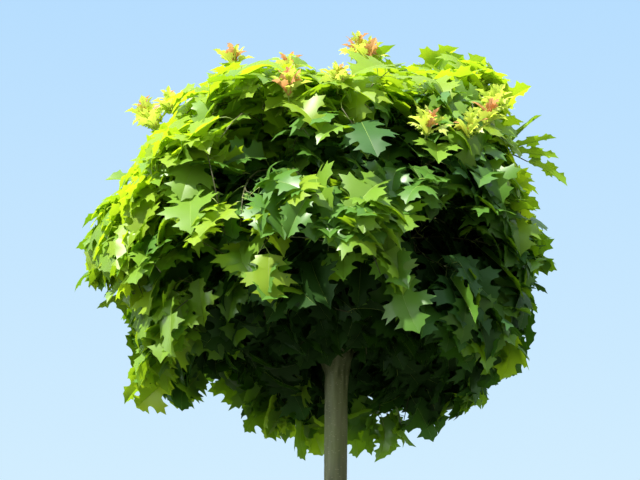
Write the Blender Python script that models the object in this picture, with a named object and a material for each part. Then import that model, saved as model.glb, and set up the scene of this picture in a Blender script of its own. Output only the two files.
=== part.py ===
"""A pin oak grown as a round head on a clear stem, rooted in level ground.

The origin is the middle of the flat cut at ground level, +Z is up and -Y is the front.
The stem ends in a thick graft head. One bough runs from the head to each mass of foliage
and ends where the mass begins. The masses share out the crown by direction from its centre:
each keeps to its own wedge, between the bare middle of the crown and the crown's outline,
and hangs as far down as the hem of the crown does on that side.
"""

import math
import random

import bmesh
import bpy
from mathutils import Matrix, Vector
from mathutils.bvhtree import BVHTree

# Stem, all lengths in metres
STEM_HEIGHT = 2.16
STEM_LEAN = Vector((0.004, 0.006, 0.0))
STEM_BOW = 0.007
STEM_SIDES = 18
GROUND_RADIUS = 0.040
STEM_TOP_RADIUS = 0.0275
STEM_TAPER = 0.62
STEM_RINGS = (0, 0.02, 0.05, 0.09, 0.15, 0.25, 0.45, 0.70, 1.0, 1.3, 1.6, 1.85, 2.05, STEM_HEIGHT)
FLARE_WIDTH = 0.016
FLARE_HEIGHT = 0.041
FLARE_ROOTS = 5
FLARE_ROOT_DEPTH = 0.007
FLARE_ROOT_HEIGHT = 0.09
FLARE_TURN = 0.6

# Graft head, a swollen knob over the stem's top
HEAD_SWELL = 0.0286
HEAD_SWELL_TOP = 1.12
HEAD_ROUNDNESS = 0.8
HEAD_HEIGHT = 0.145
HEAD_RINGS = (0.14, 0.30, 0.46, 0.62, 0.78, 0.92)

# Boughs: they leave the head in a low ring and a high ring, and one at its top
BOUGH_SIDES = 6
BOUGH_RINGS = 7
BOUGH_BASE_RADIUS = 0.0098
BOUGH_TIP_RADIUS = 0.0052
BOUGH_COLLAR = 1.16
BOUGH_PULL = 0.42
BOUGH_LIFT = 0.16
LOW_RING = 6.0
HIGH_RING = 52.0
HIGH_RING_TURN = 11.0
TOP_BEARING = 60.0
JOIN_GAP = 0.0003

# Crown outline: a squarish ball with lumps, measured from the crown's centre
CROWN_CENTRE = Vector((-0.030, 0.0, 2.500))
CROWN_HALF_WIDTH = 0.600
CROWN_HALF_HEIGHT = 0.540
CROWN_SQUARENESS = 2.4
HEM_FRONT = -43.0
HEM_BACK = -66.0
HEM_SIDE = -54.0
BARE_RADIUS = 0.215
STEM_CLEARANCE = 0.19

# Lumps and hollows of the outline: azimuth, elevation and spread in degrees, height in metres
LUMPS = {
    "right_shoulder": (348.0, 30.0, 16.0, 0.062),
    "top_right": (336.0, 49.0, 10.0, 0.030),
    "left_side": (183.0, -4.0, 13.0, 0.055),
    "left_skirt": (179.0, -37.0, 11.0, 0.030),
    "left_shoulder_tuft": (190.0, 36.0, 8.0, 0.030),
    "left_shoulder_hollow": (198.0, 48.0, 12.0, -0.020),
    "top_dip": (274.0, 60.0, 9.0, -0.045),
    "front_hem": (263.0, -39.0, 15.0, -0.025),
    "back_skirt": (57.0, -53.0, 13.0, 0.035),
    "back_skirt_hollow": (124.0, -50.0, 11.0, -0.030),
    "back_right": (48.0, 12.0, 18.0, 0.030),
    "back_left": (130.0, 20.0, 18.0, 0.035),
    "back_hollow": (98.0, 30.0, 15.0, -0.025),
}

# Longest shoots, which reach out to the outline: azimuth and elevation in degrees
SHOOTS = {
    "right": (354.0, 17.0),
    "right_shoulder": (350.0, 36.0),
    "top_right": (328.0, 50.0),
    "top": (292.0, 64.0),
    "top_left": (221.0, 56.0),
    "left_shoulder": (190.0, 35.0),
    "left": (183.0, -3.0),
    "left_skirt": (178.0, -40.0),
    "right_side": (357.0, -5.0),
    "right_skirt": (5.0, -30.0),
    "back_skirt_right": (57.0, -50.0),
    "back_skirt_middle": (100.0, -55.0),
    "back": (92.0, 4.0),
    "back_top": (80.0, 66.0),
}

# Masses of foliage: azimuth and elevation of each wedge, and its green
MASSES = {
    "top": (250.0, 84.0, (0.30, 0.44, 0.09)),
    "upper_front_left": (234.0, 38.0, (0.27, 0.41, 0.08)),
    "upper_front_right": (306.0, 41.0, (0.22, 0.36, 0.08)),
    "upper_right": (11.0, 33.0, (0.20, 0.33, 0.07)),
    "upper_back": (86.0, 40.0, (0.14, 0.25, 0.05)),
    "upper_left": (160.0, 36.0, (0.25, 0.38, 0.07)),
    "side_front": (268.0, -12.0, (0.14, 0.25, 0.07)),
    "side_front_right": (313.0, -8.0, (0.10, 0.19, 0.05)),
    "side_right": (358.0, -17.0, (0.08, 0.16, 0.04)),
    "side_back_right": (44.0, -9.0, (0.06, 0.13, 0.035)),
    "side_back": (90.0, -18.0, (0.055, 0.12, 0.03)),
    "side_back_left": (136.0, -8.0, (0.08, 0.16, 0.045)),
    "side_left": (181.0, -13.0, (0.20, 0.33, 0.07)),
    "side_front_left": (224.0, -8.0, (0.17, 0.29, 0.08)),
}
BARK_COLOUR = (0.105, 0.105, 0.055)
BARK_ROUGHNESS = 0.75
LEAF_ROUGHNESS = 0.5
SMOOTH_ANGLE = 50.0

# What grows in a mass. Depths are shares of the way from the crown's centre to its outline
SEED = 0
MASS_GAP = 0.003
LEAVES_PER_MASS = 21
FEWER_LEAVES = 3
MASS_ATTEMPTS = 4
LEAVES_PER_SPRAY = 3
SPRAY_DEPTHS = (0.74, 0.94)
SPRAY_SPREAD = 0.95
SHOOT_DEPTH = 0.79
SPRAY_TRIALS = 80
END_TRIALS = 100
LEAF_TRIALS = 50
SHOOT_LEAF_TRIALS = 400
NEAR_MASS = 0.42
STEM_TAPERS = (0.92, 0.80, 0.60)
STEM_START = 0.02
TWIG_RADIUS = 0.0042
TWIG_TIP_RADIUS = 0.0030
TWIG_ROOT = 0.012
CORE_DEPTH = 0.56
CORE_SIZE = (0.090, 0.120, 0.048)
CORE_MARGIN = 0.02
CORE_ROUGHNESS = (-0.28, 0.17)

# A leaf. One half of it is given by how far along it and how far out from its midrib each point is
LEAF_HALF = ((0.27, 0.28), (0.46, 0.12), (0.67, 0.42), (0.71, 0.15))
LEAF_LENGTH = 0.188
LEAF_LENGTHS = (0.80, 1.12)
LEAF_THICKNESS = 0.0030
LEAF_ROOT = 0.0024
LEAF_MIDDLE = 0.50
LEAF_ARCH = 0.11
LEAF_FOLD = 0.20
FIRST_LEAF = 0.004
LEAF_SPACING = 0.012

# How a leaf is held: what pulls its upper side and its tip outwards, upwards or along its twig
FACE_OUT = 0.75
FACE_UP = 0.60
FACE_WANDER = 0.38
REACH_ALONG_TWIG = 0.35
REACH_OUT = 0.55
SHOOT_REACH_OUT = 2.0
REACH_WANDER = 0.80
LEAF_HANG = -0.70
LEAF_RISE = 0.60
RISING_SHARE = 0.25


def clear_scene():
    for old in list(bpy.data.objects):
        bpy.data.objects.remove(old, do_unlink=True)


def bearing(azimuth, elevation):
    """The unit vector that points this way, both in degrees."""
    a, e = math.radians(azimuth), math.radians(elevation)
    return Vector((math.cos(a) * math.cos(e), math.sin(a) * math.cos(e), math.sin(e)))


def crown_reach(direction):
    """How far the crown's outline is from its centre in this direction."""
    across = math.hypot(direction.x, direction.y) / CROWN_HALF_WIDTH
    upright = abs(direction.z) / CROWN_HALF_HEIGHT
    power = CROWN_SQUARENESS
    reach = (across**power + upright**power) ** (-1 / power)
    for azimuth, elevation, spread, height in LUMPS.values():
        angle = math.degrees(direction.angle(bearing(azimuth, elevation)))
        if angle < 3 * spread:
            reach += height * math.exp(-((angle / spread) ** 2))
    return reach


def hem_elevation(direction):
    """The lowest elevation that leaves hang to on this side of the crown."""
    azimuth = math.atan2(direction.y, direction.x)
    level = (HEM_FRONT + HEM_BACK) / 2 + (HEM_BACK - HEM_FRONT) / 2 * math.sin(azimuth)
    side_share = math.cos(azimuth) ** 2
    return level * (1 - side_share) + HEM_SIDE * side_share


WEDGES = {name: bearing(azimuth, elevation) for name, (azimuth, elevation, _) in MASSES.items()}
WEDGE_SIDES = {
    name: [(other - own).normalized() for key, other in WEDGES.items() if key != name]
    for name, own in WEDGES.items()
}


def in_wedge(name, point):
    """Whether the point is nearer in direction to this mass than to any other."""
    offset = point - CROWN_CENTRE
    return all(offset.dot(side) < -MASS_GAP / 2 for side in WEDGE_SIDES[name])


def in_space(name, point, inner=BARE_RADIUS):
    """Whether the point lies in the space that this mass keeps to."""
    offset = point - CROWN_CENTRE
    distance = offset.length
    if distance < inner or not in_wedge(name, point):
        return False
    direction = offset / distance
    if distance > crown_reach(direction):
        return False
    if point.z < CROWN_CENTRE.z and math.hypot(point.x, point.y) < STEM_CLEARANCE:
        return False
    return math.degrees(math.asin(direction.z)) > hem_elevation(direction)


def material(name, colour, roughness):
    made = bpy.data.materials.new(name)
    made.use_nodes = True
    shader = made.node_tree.nodes["Principled BSDF"]
    shader.inputs["Base Color"].default_value = (*colour, 1.0)
    shader.inputs["Roughness"].default_value = roughness
    shader.inputs["Metallic"].default_value = 0.0
    made.diffuse_color = (*colour, 1.0)
    return made


def new_object(name, vertices, faces):
    mesh = bpy.data.meshes.new(name)
    mesh.from_pydata([tuple(v) for v in vertices], [], faces)
    mesh.update()
    made = bpy.data.objects.new(name, mesh)
    bpy.context.scene.collection.objects.link(made)
    return made


def finish(made, surface, smooth):
    made.data.materials.append(surface)
    if smooth:
        made.data.shade_smooth()
        made.data.set_sharp_from_angle(angle=math.radians(SMOOTH_ANGLE))


def ring_faces(count, sides):
    """Side faces between successive rings, and a cap at each end, all facing out."""
    faces = []
    for ring in range(count - 1):
        for side in range(sides):
            a, b = ring * sides + side, ring * sides + (side + 1) % sides
            faces.append((a, b, b + sides, a + sides))
    faces.append(tuple(reversed(range(sides))))
    faces.append(tuple(range((count - 1) * sides, count * sides)))
    return faces


def across(direction):
    """Two unit vectors at right angles to the direction and to each other."""
    guide = Vector((1, 0, 0)) if abs(direction.x) < 0.8 else Vector((0, 1, 0))
    first = direction.cross(guide).normalized()
    return first, direction.cross(first).normalized()


def tube(points, radii, sides, first_axis=None, last_axis=None):
    """Vertices and faces of a closed tapering tube through the points."""
    vertices, side_axis = [], None
    for i, point in enumerate(points):
        along = (points[min(i + 1, len(points) - 1)] - points[max(i - 1, 0)]).normalized()
        if i == 0 and first_axis:
            along = first_axis
        if i == len(points) - 1 and last_axis:
            along = last_axis
        if side_axis is None:
            side_axis = across(along)[0]
        side_axis = (side_axis - along * side_axis.dot(along)).normalized()
        other = along.cross(side_axis)
        for side in range(sides):
            turn = math.tau * side / sides
            offset = side_axis * math.cos(turn) + other * math.sin(turn)
            vertices.append(point + offset * radii[i])
    return vertices, ring_faces(len(points), sides)


def stem_axis(height):
    """The middle of the stem at this height: a slight lean with a slight bow in it."""
    share = height / STEM_HEIGHT
    bow = STEM_BOW * math.sin(math.pi * min(share, 1.0))
    return Vector((STEM_LEAN.x * share - bow, STEM_LEAN.y * share, height))


def stem_radius(height):
    """The stem's own radius: an even taper with the root flare added near the ground."""
    share = height / STEM_HEIGHT
    taper = GROUND_RADIUS + (STEM_TOP_RADIUS - GROUND_RADIUS) * share**STEM_TAPER
    return taper + FLARE_WIDTH * math.exp(-height / FLARE_HEIGHT)


def head_radius(share):
    """The graft head's radius, from the stem's top, at 0, to the middle of its crown, at 1."""
    swell = math.sin(math.pi * share / HEAD_SWELL_TOP) ** HEAD_ROUNDNESS
    return STEM_TOP_RADIUS * (1 - share) + HEAD_SWELL * swell


def build_trunk():
    """The stem and the graft head on it, as one solid with a flat cut at the ground."""
    vertices = []
    for height in STEM_RINGS:
        middle, radius = stem_axis(height), stem_radius(height)
        root = FLARE_ROOT_DEPTH * math.exp(-height / FLARE_ROOT_HEIGHT)
        for side in range(STEM_SIDES):
            turn = math.tau * side / STEM_SIDES
            width = radius + root * math.sin(FLARE_ROOTS * turn + FLARE_TURN)
            vertices.append(middle + Vector((math.cos(turn), math.sin(turn), 0)) * width)
    for share in HEAD_RINGS:
        middle = stem_axis(STEM_HEIGHT) + Vector((0, 0, HEAD_HEIGHT * share))
        for side in range(STEM_SIDES):
            turn = math.tau * side / STEM_SIDES
            vertices.append(middle + Vector((math.cos(turn), math.sin(turn), 0)) * head_radius(share))
    rings = len(STEM_RINGS) + len(HEAD_RINGS)
    trunk = new_object("trunk", vertices, ring_faces(rings, STEM_SIDES))
    finish(trunk, material("bark", BARK_COLOUR, BARK_ROUGHNESS), True)
    return trunk


def joined_tree(objects):
    """A search tree of the meshes of all these objects."""
    vertices, faces = [], []
    for made in objects:
        mesh = made.data
        mesh.calc_loop_triangles()
        first = len(vertices)
        vertices += [v.co.copy() for v in mesh.vertices]
        faces += [tuple(first + i for i in t.vertices) for t in mesh.loop_triangles]
    return BVHTree.FromPolygons(vertices, faces)


def bough_route(start, start_axis, end, end_axis):
    """Points of one smooth curve that leaves along start_axis and arrives along end_axis."""
    pull = (end - start).length * BOUGH_PULL
    a, b = start + start_axis * pull, end - end_axis * pull
    points = []
    for i in range(BOUGH_RINGS):
        t = i / (BOUGH_RINGS - 1)
        u = 1 - t
        points.append(start * u**3 + a * (3 * u * u * t) + b * (3 * u * t * t) + end * t**3)
    return points


def bough_tip(name):
    """Where the bough of this mass ends, and the way it points there."""
    axis = WEDGES[name]
    lift = BOUGH_LIFT * math.hypot(axis.x, axis.y)
    return CROWN_CENTRE + axis * BARE_RADIUS, (axis + Vector((0, 0, lift))).normalized()


def head_bearing(name):
    """The way that this bough leaves the graft head."""
    azimuth, elevation, _ = MASSES[name]
    if elevation > TOP_BEARING:
        return bearing(azimuth, 90.0)
    if elevation > 0:
        return bearing(azimuth + HIGH_RING_TURN, HIGH_RING)
    return bearing(azimuth, LOW_RING)


def build_bough(name, trunk_tree):
    tip, tip_axis = bough_tip(name)
    head_axis = head_bearing(name)
    middle = stem_axis(STEM_HEIGHT) + Vector((0, 0, HEAD_HEIGHT / 2))
    hit, normal, _, _ = trunk_tree.ray_cast(middle + head_axis * HEAD_HEIGHT, -head_axis)
    start = hit + normal * JOIN_GAP
    points = bough_route(start, normal, tip, tip_axis)
    radii = []
    for i in range(BOUGH_RINGS):
        share = i / (BOUGH_RINGS - 1)
        radii.append(BOUGH_BASE_RADIUS + (BOUGH_TIP_RADIUS - BOUGH_BASE_RADIUS) * share)
    radii[0] *= BOUGH_COLLAR
    made = new_object("bough_" + name, *tube(points, radii, BOUGH_SIDES, normal, tip_axis))
    finish(made, material("bark_" + name, BARK_COLOUR, BARK_ROUGHNESS), True)
    return made


def leaf_shape(root, along, normal, length):
    """A leaf as a thin lobed lens that arches along its length and folds at its midrib."""
    side = along.cross(normal).normalized()
    width = LEAF_ROOT / 2

    def place(forward, out, lift):
        drop = LEAF_ARCH * forward * forward + LEAF_FOLD * abs(out)
        return root + along * (forward * length) + side * (out * length) + normal * (
            lift - drop * length
        )

    outline = [root - side * width]
    outline += [place(forward, -out, 0) for forward, out in LEAF_HALF]
    outline.append(place(1.0, 0.0, 0))
    outline += [place(forward, out, 0) for forward, out in reversed(LEAF_HALF)]
    outline.append(root + side * width)
    count, half = len(outline), LEAF_THICKNESS / 2
    top, under = place(LEAF_MIDDLE, 0, half), place(LEAF_MIDDLE, 0, -half)
    vertices = outline + [root - normal * width, top, under]
    below, upper, lower = count, count + 1, count + 2
    faces = [(upper, (i + 1) % count, i) for i in range(count)]
    faces += [(lower, i, i + 1) for i in range(count - 1)]
    faces += [(lower, count - 1, below), (lower, below, 0), (0, below, count - 1)]
    return vertices, faces


def twig_shape(start, end):
    return tube([start, end], [TWIG_RADIUS, TWIG_TIP_RADIUS], 3)


def core_shape(name, rng):
    """A flattened ball inside the mass, each point of it drawn in to stay in the mass's space."""
    axis = WEDGES[name]
    centre = CROWN_CENTRE + axis * (CORE_DEPTH * crown_reach(axis))
    level = axis.cross(Vector((0, 0, 1))).normalized()
    upright = level.cross(axis).normalized()
    inner = BARE_RADIUS + CORE_MARGIN
    ball = bmesh.new()
    bmesh.ops.create_icosphere(ball, subdivisions=2, radius=1.0)
    size = Matrix.Diagonal(CORE_SIZE)
    for vertex in ball.verts:
        offset = size @ vertex.co * (1 + rng.uniform(*CORE_ROUGHNESS))
        offset = level * offset.x + upright * offset.y + axis * offset.z
        while not in_space(name, centre + offset, inner) and offset.length > CORE_MARGIN:
            offset *= 0.9
        vertex.co = centre + offset
    ball.verts.index_update()
    vertices = [v.co.copy() for v in ball.verts]
    faces = [tuple(v.index for v in f.verts) for f in ball.faces]
    ball.free()
    return vertices, faces, centre


def shoot_ends(name):
    """Where the longest shoots of this mass end."""
    ends = []
    for azimuth, elevation in SHOOTS.values():
        direction = bearing(azimuth, elevation)
        point = CROWN_CENTRE + direction * (crown_reach(direction) * SHOOT_DEPTH)
        if in_space(name, point):
            ends.append(point)
    return ends


def next_end(name, taken, rng):
    """A spray's end in this mass's space, as far as can be from the places taken so far."""
    best, best_gap = None, 0.0
    for _ in range(END_TRIALS):
        offset = Vector((rng.gauss(0, 1), rng.gauss(0, 1), rng.gauss(0, 1))).normalized()
        direction = (WEDGES[name] + offset * rng.random() * SPRAY_SPREAD).normalized()
        point = CROWN_CENTRE + direction * (crown_reach(direction) * rng.uniform(*SPRAY_DEPTHS))
        gap = min([(point - other).length for other in taken], default=1.0)
        if gap > best_gap and in_space(name, point):
            best, best_gap = point, gap
    return best


def wander(rng, most):
    return Vector((rng.uniform(-1, 1), rng.uniform(-1, 1), rng.uniform(-1, 1))) * most


def leaf_frame(point, twig_axis, rng, on_shoot):
    """A leaf's direction and the way its upper side faces. Most hang; those on shoots reach out."""
    out = (point - CROWN_CENTRE).normalized()
    normal = out * FACE_OUT + Vector((0, 0, FACE_UP)) + wander(rng, FACE_WANDER)
    normal.normalize()
    lift = LEAF_RISE if rng.random() < RISING_SHARE else LEAF_HANG
    reach = SHOOT_REACH_OUT if on_shoot else REACH_OUT
    along = twig_axis * REACH_ALONG_TWIG + out * reach + Vector((0, 0, lift))
    along += wander(rng, REACH_WANDER)
    along = (along - normal * along.dot(normal)).normalized()
    return along, normal


def shape_tree(shape):
    vertices, faces = shape
    return BVHTree.FromPolygons(vertices, faces)


def leaf_middle(leaf):
    """The raised point in the middle of a leaf's upper side."""
    return leaf[0][-2]


def leaf_tip(leaf):
    """The farthest point of a leaf from the crown's centre."""
    return max(leaf[0], key=lambda v: (v - CROWN_CENTRE).length)


def best_leaf(name, root, axis, rng, obstacles, middles, on_shoot):
    """Of the leaves that fit at this root, the one farthest from all others, or farthest out."""
    best, best_score = None, 0.0
    for _ in range(SHOOT_LEAF_TRIALS if on_shoot else LEAF_TRIALS):
        along, normal = leaf_frame(root, axis, rng, on_shoot)
        leaf = leaf_shape(root, along, normal, LEAF_LENGTH * rng.uniform(*LEAF_LENGTHS))
        if on_shoot:
            score = (leaf_tip(leaf) - CROWN_CENTRE).length
        else:
            score = min([(leaf_middle(leaf) - other).length for other in middles], default=1.0)
        if score < best_score or not all(in_space(name, v) for v in leaf[0]):
            continue
        tree = shape_tree(leaf)
        if not any(tree.overlap(other) for other in obstacles):
            best, best_score = leaf, score
    return best


def grow_mass(name, limbs_tree, middles, rng, most_leaves):
    """The closed shapes of one mass: its core, stem, twigs and leaves."""
    tip, tip_axis = bough_tip(name)
    start = tip + tip_axis * JOIN_GAP
    core_vertices, core_faces, centre = core_shape(name, rng)
    core = (core_vertices, core_faces)
    radii = [BOUGH_TIP_RADIUS * taper for taper in STEM_TAPERS]
    stem = tube([start, start + tip_axis * STEM_START, centre], radii, BOUGH_SIDES, tip_axis)
    core_tree = shape_tree(core)
    shapes, limbs, leaf_trees = [core, stem], [limbs_tree, core_tree, shape_tree(stem)], []
    near = [middle for middle in middles if (middle - centre).length < NEAR_MASS]
    shoots, tried = shoot_ends(name), []
    while len(leaf_trees) < most_leaves and len(tried) < SPRAY_TRIALS:
        on_shoot = len(tried) < len(shoots)
        end = shoots[len(tried)] if on_shoot else next_end(name, near + tried, rng)
        tried.append(end)
        axis = (end - centre).normalized()
        out_of_core = core_tree.ray_cast(end, -axis)[0]
        if out_of_core is None:
            continue
        twig = twig_shape(out_of_core - axis * TWIG_ROOT, end)
        twig_tree = shape_tree(twig)
        if any(twig_tree.overlap(other) for other in leaf_trees):
            continue
        leaves = []
        for number in range(LEAVES_PER_SPRAY):
            root = end - axis * (FIRST_LEAF + LEAF_SPACING * number)
            leaf = best_leaf(name, root, axis, rng, limbs + leaf_trees, near, on_shoot)
            if leaf:
                leaves.append(leaf)
                leaf_trees.append(shape_tree(leaf))
                near.append(leaf_middle(leaf))
                middles.append(leaf_middle(leaf))
        if leaves:
            shapes += [twig, *leaves]
            limbs.append(twig_tree)
    return shapes


def fuse(name, shapes):
    """One object from overlapping closed shapes, by one Boolean union on a collection."""
    joined = new_object(name, *shapes[0])
    pieces = bpy.data.collections.new(name + "_pieces")
    bpy.context.scene.collection.children.link(pieces)
    for i, (vertices, faces) in enumerate(shapes[1:]):
        piece = new_object(f"{name}_piece_{i}", vertices, faces)
        bpy.context.scene.collection.objects.unlink(piece)
        pieces.objects.link(piece)
    union = joined.modifiers.new("union", "BOOLEAN")
    union.operation = "UNION"
    union.operand_type = "COLLECTION"
    union.collection = pieces
    bpy.context.view_layer.objects.active = joined
    bpy.ops.object.modifier_apply(modifier=union.name)
    for piece in list(pieces.objects):
        bpy.data.objects.remove(piece, do_unlink=True)
    bpy.data.collections.remove(pieces)
    return joined


def islands(mesh):
    """The mesh's separate surfaces, as lists of faces."""
    left, found = set(mesh.faces), []
    while left:
        stack, island = [left.pop()], []
        while stack:
            face = stack.pop()
            island.append(face)
            for edge in face.edges:
                for other in edge.link_faces:
                    if other in left:
                        left.remove(other)
                        stack.append(other)
        found.append(island)
    return found


def keep_largest(made):
    """Fills sealed hollows and drops loose scraps. Returns whether one closed surface is left."""
    mesh = bmesh.new()
    mesh.from_mesh(made.data)
    bmesh.ops.triangulate(mesh, faces=mesh.faces)
    surfaces = sorted(islands(mesh), key=len, reverse=True)
    for island in surfaces[1:]:
        bmesh.ops.delete(mesh, geom=island, context="FACES")
    closed = all(len(edge.link_faces) == 2 for edge in mesh.edges)
    mesh.to_mesh(made.data)
    mesh.free()
    return closed


def build_mass(name, number, limbs_tree, middles):
    """One mass of foliage. One that fails twice gets fewer leaves."""
    colour = MASSES[name][2]
    for attempt in range(MASS_ATTEMPTS):
        most_leaves = LEAVES_PER_MASS - (FEWER_LEAVES if attempt > 1 else 0)
        rng = random.Random(SEED + 1000 * number + attempt)
        grown = list(middles)
        made = fuse("foliage_" + name, grow_mass(name, limbs_tree, grown, rng, most_leaves))
        if keep_largest(made):
            middles[:] = grown
            finish(made, material("leaf_" + name, colour, LEAF_ROUGHNESS), False)
            return made
        bpy.data.objects.remove(made, do_unlink=True)
    raise RuntimeError(name + " did not close")


def main():
    clear_scene()
    trunk = build_trunk()
    trunk_tree = joined_tree([trunk])
    boughs = [build_bough(name, trunk_tree) for name in MASSES]
    limbs_tree = joined_tree([trunk, *boughs])
    leaf_middles = []
    for number, name in enumerate(MASSES):
        build_mass(name, number, limbs_tree, leaf_middles)


main()
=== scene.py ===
import math
import random

import bpy
import numpy as np
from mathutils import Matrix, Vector, noise
from mathutils.geometry import delaunay_2d_cdt


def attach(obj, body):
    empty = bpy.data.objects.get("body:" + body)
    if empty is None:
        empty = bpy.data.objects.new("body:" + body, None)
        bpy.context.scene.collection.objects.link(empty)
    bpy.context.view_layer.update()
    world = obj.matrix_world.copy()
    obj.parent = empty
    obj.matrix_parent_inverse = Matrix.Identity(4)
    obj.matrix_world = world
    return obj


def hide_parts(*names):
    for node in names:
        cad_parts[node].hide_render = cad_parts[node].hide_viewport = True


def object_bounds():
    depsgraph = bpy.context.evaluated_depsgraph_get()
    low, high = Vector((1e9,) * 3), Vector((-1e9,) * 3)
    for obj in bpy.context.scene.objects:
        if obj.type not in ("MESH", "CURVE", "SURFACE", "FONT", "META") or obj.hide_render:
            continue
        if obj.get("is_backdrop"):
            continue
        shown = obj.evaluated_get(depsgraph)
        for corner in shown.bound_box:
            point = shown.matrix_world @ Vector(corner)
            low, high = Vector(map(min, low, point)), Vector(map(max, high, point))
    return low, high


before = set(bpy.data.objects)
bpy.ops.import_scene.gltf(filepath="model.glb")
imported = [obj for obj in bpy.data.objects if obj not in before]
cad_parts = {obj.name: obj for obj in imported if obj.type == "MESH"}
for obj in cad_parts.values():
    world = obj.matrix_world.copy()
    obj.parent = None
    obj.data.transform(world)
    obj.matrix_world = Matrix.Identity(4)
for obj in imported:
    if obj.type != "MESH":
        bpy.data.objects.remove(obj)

cadBox = [list(corner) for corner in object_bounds()]
print("frame loaded:", len(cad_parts), "nodes")

# The crown's outline, close to the solids'. Leaves keep inside it, but for the shoots listed below.
crown = {
    "centre": Vector((-0.030, 0.0, 2.500)),
    "halfWidth": 0.600,
    "halfHeight": 0.540,
    "squareness": 2.4,
    "bareRadius": 0.215,  # where the boughs end, and how much their ends turn up
    "boughLift": 0.16,
    "lumpEdge": 3.0,  # lumps and hollows end at so many spreads
    "stemClearance": 0.075,
    "rimShare": 0.77,
    "innerHem": 115.0,
    "innerLowest": -73.0,
    "headWidth": 0.21,  # leaves may hang this close round the graft head, down to this height
    "headLowest": 2.180,
}
centre = crown["centre"]

# The hem: azimuth, and the lowest elevation that leaves hang to there, in degrees
hem = {
    "right": (0, -38),
    "rightBack": (14, -43),
    "backRightSide": (40, -52),
    "backRight": (57, -55),
    "backMiddle": (80, -58),
    "back": (103, -58),
    "backLeft": (121, -56),
    "notch": (140, -40),
    "leftBack": (160, -47),
    "left": (180, -44),
    "frontLeft": (212, -40),
    "frontMiddleLeft": (236, -30),
    "front": (268, -28),
    "frontRight": (296, -33),
    "rightFront": (318, -41),
}

# Lumps and hollows of the outline: azimuth, elevation and spread in degrees, height in metres
lumps = {
    "rightShoulder": (346, 38, 12, 0.060),
    "rightShoulderFork": (344, 19, 12, -0.080),
    "topRight": (336, 49, 10, 0.030),
    "leftSide": (183, -4, 13, 0.055),
    "leftSkirt": (179, -37, 11, 0.030),
    "leftShoulderHollow": (200, 47, 11, -0.115),
    "leftUpperNotch": (189, 26, 13, -0.115),
    "leftFrontNotch": (209, 24, 10, -0.075),
    "leftFrontDip": (203, 11, 9, -0.030),
    "leftWaist": (175, -19, 13, -0.110),
    "leftFrontWaist": (193, -26, 10, -0.070),
    "leftShoulderDip": (216, 37, 8, -0.035),
    "leftSkirtBack": (167, -47, 8, -0.045),
    "topDip": (268, 54, 13, -0.150),
    "topFrontDip": (273, 39, 7, -0.045),
    "topHollow": (262, 76, 17, -0.150),
    "topLeftDip": (230, 49, 8, -0.025),
    "topRightDip": (303, 52, 10, -0.060),
    "rightUpperDip": (354, 9, 8, -0.070),
    "rightWaist": (5, -14, 10, -0.060),
    "rightFrontWaist": (348, -20, 8, -0.050),
    "rightSkirtHollow": (6, -37, 8, -0.050),
    "leftNotch": (133, -41, 8, -0.112),
    "backSkirtNotch": (63, -58, 6, -0.035),
    "backSkirt": (57, -53, 13, 0.035),
    "backSkirtHollow": (124, -50, 11, -0.010),
    "backRight": (48, 12, 18, 0.030),
    "backLeft": (130, 20, 18, 0.035),
    "backHollow": (98, 30, 15, -0.025),
}

# Masses of foliage: azimuth and elevation of each wedge of the crown
masses = {
    "top": (250, 84),
    "upper_front_left": (234, 38),
    "upper_front_right": (306, 41),
    "upper_right": (11, 33),
    "upper_back": (86, 40),
    "upper_left": (160, 36),
    "side_front": (268, -12),
    "side_front_right": (313, -8),
    "side_right": (358, -17),
    "side_back_right": (44, -9),
    "side_back": (90, -18),
    "side_back_left": (136, -8),
    "side_left": (181, -13),
    "side_front_left": (224, -8),
}


# Shader maths

class Wire:  # a node's output, which maths can be written with
    def __init__(self, sheet, socket):
        self.sheet, self.socket = sheet, socket

    def maths(self, operation, first, second):
        return self.sheet.node("ShaderNodeMath", {"operation": operation}, {0: first, 1: second})

    def __add__(self, other):
        return self.maths("ADD", self, other)

    def __radd__(self, other):
        return self.maths("ADD", other, self)

    def __sub__(self, other):
        return self.maths("SUBTRACT", self, other)

    def __rsub__(self, other):
        return self.maths("SUBTRACT", other, self)

    def __mul__(self, other):
        return self.maths("MULTIPLY", self, other)

    def __rmul__(self, other):
        return self.maths("MULTIPLY", other, self)


class Sheet:  # one material's or world's node tree
    def __init__(self, owner):
        owner.use_nodes = True
        self.tree = owner.node_tree
        self.tree.nodes.clear()

    def node(self, kind, settings=None, values=None, output=0):
        made = self.tree.nodes.new(kind)
        for key, value in (settings or {}).items():
            setattr(made, key, value)
        for key, value in (values or {}).items():
            if isinstance(value, Wire):
                self.tree.links.new(value.socket, made.inputs[key])
            else:
                made.inputs[key].default_value = value
        return Wire(self, made.outputs[output])

    def mix(self, share, first, second):
        settings = {"data_type": "RGBA"}
        return self.node("ShaderNodeMix", settings, {0: share, 6: first, 7: second}, 2)

    def ramp(self, value, ends, results=(0.0, 1.0)):  # takes a value from its ends to the results
        values = {0: value, 1: ends[0], 2: ends[1], 3: results[0], 4: results[1]}
        return self.node("ShaderNodeMapRange", {}, values)

    def ends(self, shader, kind="ShaderNodeOutputMaterial"):
        made = self.tree.nodes.new(kind)
        self.tree.links.new(shader.socket, made.inputs["Surface"])


def solid(colour):
    return (*colour, 1.0)


# Directions and the crown's outline

def bearing(azimuth, elevation):
    a, e = math.radians(azimuth), math.radians(elevation)
    return Vector((math.cos(a) * math.cos(e), math.sin(a) * math.cos(e), math.sin(e)))


lumpList = [(bearing(a, e), spread, height) for a, e, spread, height in lumps.values()]
wedges = {name: bearing(*place) for name, place in masses.items()}
up = Vector((0, 0, 1))


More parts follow.
